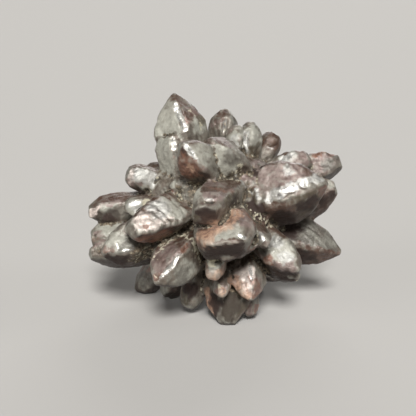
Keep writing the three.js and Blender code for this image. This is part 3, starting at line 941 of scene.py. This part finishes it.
def mottling(n, colour, grain, dark):
    """The colour with fine mottling: no light spots on dark faces, and fewer dark ones on pale faces."""
    streak = n.mask("streak")
    light = n.math("SUBTRACT", 1.0, n.most(dark, n.mask("under")))
    calm = n.range(n.mask("pale"), 0.0, 1.0, 1.0, 0.45)
    colour = n.tint(colour, PALE, streak, 0.5, 0.95, 0.4, light)
    colour = n.tint(colour, UMBER, streak, 0.5, 0.1, 0.45, calm)
    colour = n.tint(colour, BROWN, grain.blotch, 0.5, 0.35, 0.3, calm)
    colour = n.tint(colour, UMBER, grain.mottle, 0.5, 0.32, 0.3, calm)
    # painted highlight: the edges that stand out are lightened towards pale
    colour = n.tint(colour, PALE, n.broken(n.mask("edge"), grain.mottle, 1.2), 0.25, 1.0, 0.3, light)
    colour = n.tint(colour, PALE, grain.mottle, 0.52, 0.68, 0.3, light)
    return n.tint(colour, UMBER, grain.speck, 0.5, 0.32, 0.22)


def crumb_colour(n, where, grain):
    """Tan, olive and cream crumbs between black gaps."""
    gap, kind = n.crumbs(n.shaken(where, size=0.9, reach=0.8), CRUMB_SIZE)
    colour = n.tint(OLIVE, TAN, n.broken(kind, grain.mottle, 1.5), 0.1, 0.8)
    colour = n.tint(colour, CREAM, n.math("ADD", kind, grain.mottle), 1.2, 1.5)
    return n.tint(colour, BLACK, n.broken(gap, grain.speck, 1.2), 0.4, 0.85, 0.85)


def crumb_mask(n, grain):
    """Crumbs lie in the patches of grit, in recesses and in creases."""
    recess = n.range(n.broken(n.mask("recess"), grain.mottle, 0.6), 0.45, 1.0)
    crease = n.range(n.broken(n.mask("crease"), grain.mottle, 0.6), 0.35, 0.85)
    return n.most(n.mask("grit"), recess, crease)


def crust_amount(n, grain):
    """How much cream lies on the crusts and the patches of cream."""
    crust = n.broken(n.most(n.mask("cream"), n.mask("crust")), grain.speck, 1.6)
    return n.range(crust, 0.5, 0.9, 0.0, 0.75)


def stone_colour(n, where, grain, cover):
    """The colour, from the general tones up to the crust."""
    colour = placed_tones(n, general_tones(n, grain), grain)
    colour = mottling(n, colour, grain, cover.dark)
    # painted highlight: the polished flats are lightened towards silver
    colour = n.mix(n.math("MULTIPLY", cover.bright, 0.6), colour, HIGHLIGHT_SILVER)
    colour = n.mix(n.math("MULTIPLY", cover.crumbs, 0.92), colour, crumb_colour(n, where, grain))
    # painted shade: black in the creases, and in the recesses that the stone hides from the light
    colour = n.tint(colour, BLACK, n.broken(n.mask("crease"), grain.speck, 0.8), 0.5, 1.0, 0.45)
    shade = n.math("SUBTRACT", n.mask("deep"), n.math("MULTIPLY", n.mask("grit"), 0.5))
    colour = n.tint(colour, BLACK, shade, 0.1, 1.0, 0.5)
    return n.mix(cover.crust, colour, CREAM)


def fine_relief(n, grain, bright):
    """The relief that is too fine for the mesh, calmer on polished flats."""
    height = n.math("ADD", grain.mottle, n.math("MULTIPLY", grain.speck, 0.45))
    height = n.math("ADD", height, n.math("MULTIPLY", grain.grit, 0.15))
    strength = n.range(bright, 0.0, 1.0, 0.9, 0.4)
    bump = n.add("ShaderNodeBump", {"Strength": strength, "Distance": BUMP_HEIGHT * MM, "Height": height})
    return bump.outputs[0]


def stone_material():
    material = bpy.data.materials.new("iron_oxide")
    n = Nodes(material)
    where = n.tree.nodes.new("ShaderNodeTexCoord").outputs["Object"]
    grain = SimpleNamespace(
        blotch=n.noise(where, size=6.0, detail=4.0, roughness=0.6, distortion=0.4).outputs[0],
        mottle=n.noise(where, size=1.5, detail=5.0, roughness=0.65, distortion=0.6).outputs[0],
        speck=n.noise(where, size=0.5, detail=4.0, roughness=0.6).outputs[0],
        grit=n.noise(where, size=0.22, detail=3.0, roughness=0.6).outputs[0],
    )
    cover = SimpleNamespace(
        dark=n.most(n.mask("umber"), n.mask("dusk")),
        bright=n.range(n.broken(n.mask("polish_and_highlight"), grain.mottle, 0.8), 0.2, 0.8),
        crumbs=crumb_mask(n, grain),
        crust=crust_amount(n, grain),
    )
    # crumbs, crust and dark faces are dull, and polished and silver ones shine most
    dull = n.most(cover.crumbs, cover.crust, cover.dark)
    shiny = n.most(cover.bright, n.mask("silver"))
    rough = n.range(grain.mottle, 0.3, 0.7, 0.38, 0.5)
    rough = n.math("SUBTRACT", rough, n.math("MULTIPLY", cover.bright, 0.18))
    rough = n.math("ADD", rough, n.math("MULTIPLY", dull, 0.35))
    matte = n.math("MULTIPLY", n.mask("pale"), n.range(cover.bright, 0.0, 1.0, 0.6, 0.0))
    shine = n.math("SUBTRACT", 1.0, n.most(dull, matte))
    relief = fine_relief(n, grain, cover.bright)
    shader = n.add("ShaderNodeBsdfPrincipled", {
        "Base Color": stone_colour(n, where, grain, cover),
        "Metallic": n.math("MULTIPLY", shine, n.range(shiny, 0.0, 1.0, 0.35, 0.55)),
        "Roughness": rough,
        "IOR": 1.5,
        "Coat Weight": n.math("MULTIPLY", shine, n.range(shiny, 0.0, 1.0, 0.3, 0.5)),
        "Coat Roughness": 0.22,
        "Coat IOR": 1.6,
        "Normal": relief,
        "Coat Normal": relief,
    })
    n.add("ShaderNodeOutputMaterial", {"Surface": shader.outputs[0]})
    return material


stone.data.materials.clear()
stone.data.materials.append(stone_material())
stone.data.polygons.foreach_set("use_smooth", [True] * len(stone.data.polygons))
stone.data.polygons.foreach_set("material_index", [0] * len(stone.data.polygons))
stone.data.update()
slim(stone)
set_coords(stone.data, np.clip(coords(stone.data), low, high))

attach(stone, "root")
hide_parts(NODE)


# ---------------------------------------------------------------- stage
FLOOR_COLOUR = srgb(184, 182, 179)
FLOOR_WIDTH = 12.0  # m
SUN_COLOUR = (1.0, 0.99, 0.97)
SKY_COLOUR = (1, 0.97, 0.93, 1)
SKY_STRENGTH = 0.06

# Soft lights: (name, direction that it comes from, how wide it looks in degrees, strength)
SUNS = [
    ("key", (0.02, -0.74, 0.66), 18, 4.4),
    ("left", (-0.9, -0.5, 0.35), 30, 0.5),
    ("right", (0.95, -0.1, 0.5), 25, 0.3),
    ("back", (0.15, 0.9, 0.4), 40, 1.2),
]


def floor():
    bpy.ops.mesh.primitive_plane_add(size=FLOOR_WIDTH, location=(0, 0, 0))
    plane = bpy.context.object
    plane.name = "floor"
    material = bpy.data.materials.new("floor")
    n = Nodes(material)
    shader = n.add("ShaderNodeBsdfPrincipled", {"Roughness": 1.0, "IOR": 1.2, "Base Color": FLOOR_COLOUR})
    n.add("ShaderNodeOutputMaterial", {"Surface": shader.outputs[0]})
    plane.data.materials.append(material)


def sun(name, direction, width, strength):
    """A soft light from far away."""
    data = bpy.data.lights.new(name, "SUN")
    data.angle = math.radians(width)
    data.energy = strength
    data.color = SUN_COLOUR
    light = bpy.data.objects.new(name, data)
    bpy.context.scene.collection.objects.link(light)
    light.rotation_euler = Vector(direction).to_track_quat("Z", "Y").to_euler()


def sky():
    world = bpy.data.worlds.new("studio")
    world.use_nodes = True
    background = world.node_tree.nodes["Background"]
    background.inputs[0].default_value = SKY_COLOUR
    background.inputs[1].default_value = SKY_STRENGTH
    bpy.context.scene.world = world


def camera():
    data = bpy.data.cameras.new("camera")
    data.lens = LENS
    data.sensor_width = SENSOR
    data.clip_start = 0.01
    eye = bpy.data.objects.new("camera", data)
    bpy.context.scene.collection.objects.link(eye)
    tilt = math.radians(CAMERA_TILT)
    eye.location = TARGET + CAMERA_DISTANCE * Vector((0, -math.cos(tilt), math.sin(tilt)))
    eye.rotation_euler = (math.pi / 2 - tilt, 0, 0)
    bpy.context.scene.camera = eye


floor()
for light in SUNS:
    sun(*light)
sky()
camera()
bpy.context.scene.view_settings.view_transform = "Standard"
